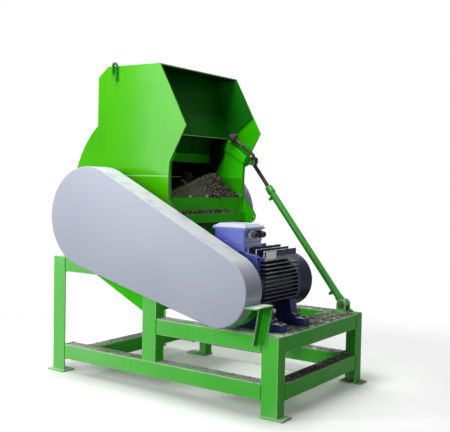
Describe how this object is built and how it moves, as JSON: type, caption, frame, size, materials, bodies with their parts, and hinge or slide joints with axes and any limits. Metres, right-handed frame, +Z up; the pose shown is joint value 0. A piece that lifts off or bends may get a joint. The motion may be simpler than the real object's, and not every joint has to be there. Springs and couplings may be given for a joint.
{
  "type": "granule crusher",
  "caption": "Rotor crusher in a green sheet-steel housing with tipping feed hood and ram, grey belt guard and blue electric motor on a welded stand.",
  "frame": {"origin": "centre of the machine's footprint on the floor", "axes": "+Z up, +X from the housing towards the motor, -Y towards the belt guard"},
  "size_m": [1.91, 1.422, 2.1119],
  "materials": {
    "frame_paint": "gloss enamel over welded tube, dusty on upper faces",
    "housing_paint": "gloss enamel on sheet steel",
    "inner_paint": "worn and dusty enamel",
    "guard_paint": "semi-matt enamel",
    "motor_paint": "gloss enamel on castings",
    "rotor_steel": "worn steel",
    "pulley_iron": "machined",
    "bearing_iron": "painted casting",
    "bare_steel": "oiled steel",
    "rod_steel": "dark, dusty and oily"
  },
  "bodies": {
    "root": {"post_front_left": "frame_paint", "post_rear_left": "frame_paint", "post_mid_front": "frame_paint", "post_mid_rear": "frame_paint", "post_front_right": "frame_paint", "post_rear_right": "frame_paint", "upper_long_rails": "frame_paint", "upper_cross_rails": "frame_paint", "lower_long_rails": "frame_paint", "lower_cross_rails": "frame_paint", "motor_long_rails": "frame_paint", "motor_cross_rails": "frame_paint", "casing_side_near": "housing_paint", "casing_side_far": "housing_paint", "casing_back": "housing_paint", "casing_front": "inner_paint", "feed_apron": "housing_paint", "feed_ramp": "inner_paint", "discharge_chute": "inner_paint", "rotor_shaft": "rotor_steel", "rotor_discs": "rotor_steel", "rotor_hammers": "rotor_steel", "rotor_bearings": "bearing_iron", "belt_guard": "guard_paint", "belt_guard_back": "guard_paint", "guard_bracket": "frame_paint", "belt_drive": "pulley_iron", "far_guard": "guard_paint", "hinge_lower": "bare_steel", "ram_bracket": "frame_paint", "motor_frame": "motor_paint", "motor_cowl": "motor_paint", "motor_feet": "motor_paint", "terminal_box": "motor_paint"},
    "hood": {"hood_side_near": "housing_paint", "hood_side_far": "housing_paint", "hood_shell": "housing_paint", "hood_liner": "inner_paint", "hood_wear_plates": "housing_paint", "impact_bar": "inner_paint", "hood_ram_lug": "frame_paint", "lifting_lugs": "housing_paint", "hinge_upper": "bare_steel"},
    "ram_barrel": {"ram_barrel": "frame_paint"},
    "ram_rod": {"ram_rod": "rod_steel"}
  },
  "joints": [
    {"name": "hood_hinge", "type": "hinge", "parent": "root", "child": "hood", "pos_m": [-0.848, 0, 1.361], "axis": [0, -1, 0], "range_deg": [0, 35]},
    {"name": "ram_pivot", "type": "hinge", "parent": "root", "child": "ram_barrel", "pos_m": [0.797, 0.492, 0.522], "axis": [0, -1, 0], "range_deg": [-5, 1]},
    {"name": "ram_slide", "type": "slide", "parent": "ram_barrel", "child": "ram_rod", "axis": [-0.62, 0, 0.7846], "range_m": [0, 0.54]}
  ],
  "couplings": [
    {"joint": "ram_pivot", "follows": "hood_hinge", "ratio": -0.10759},
    {"joint": "ram_slide", "follows": "hood_hinge", "m_per_rad": 0.86117}
  ]
}
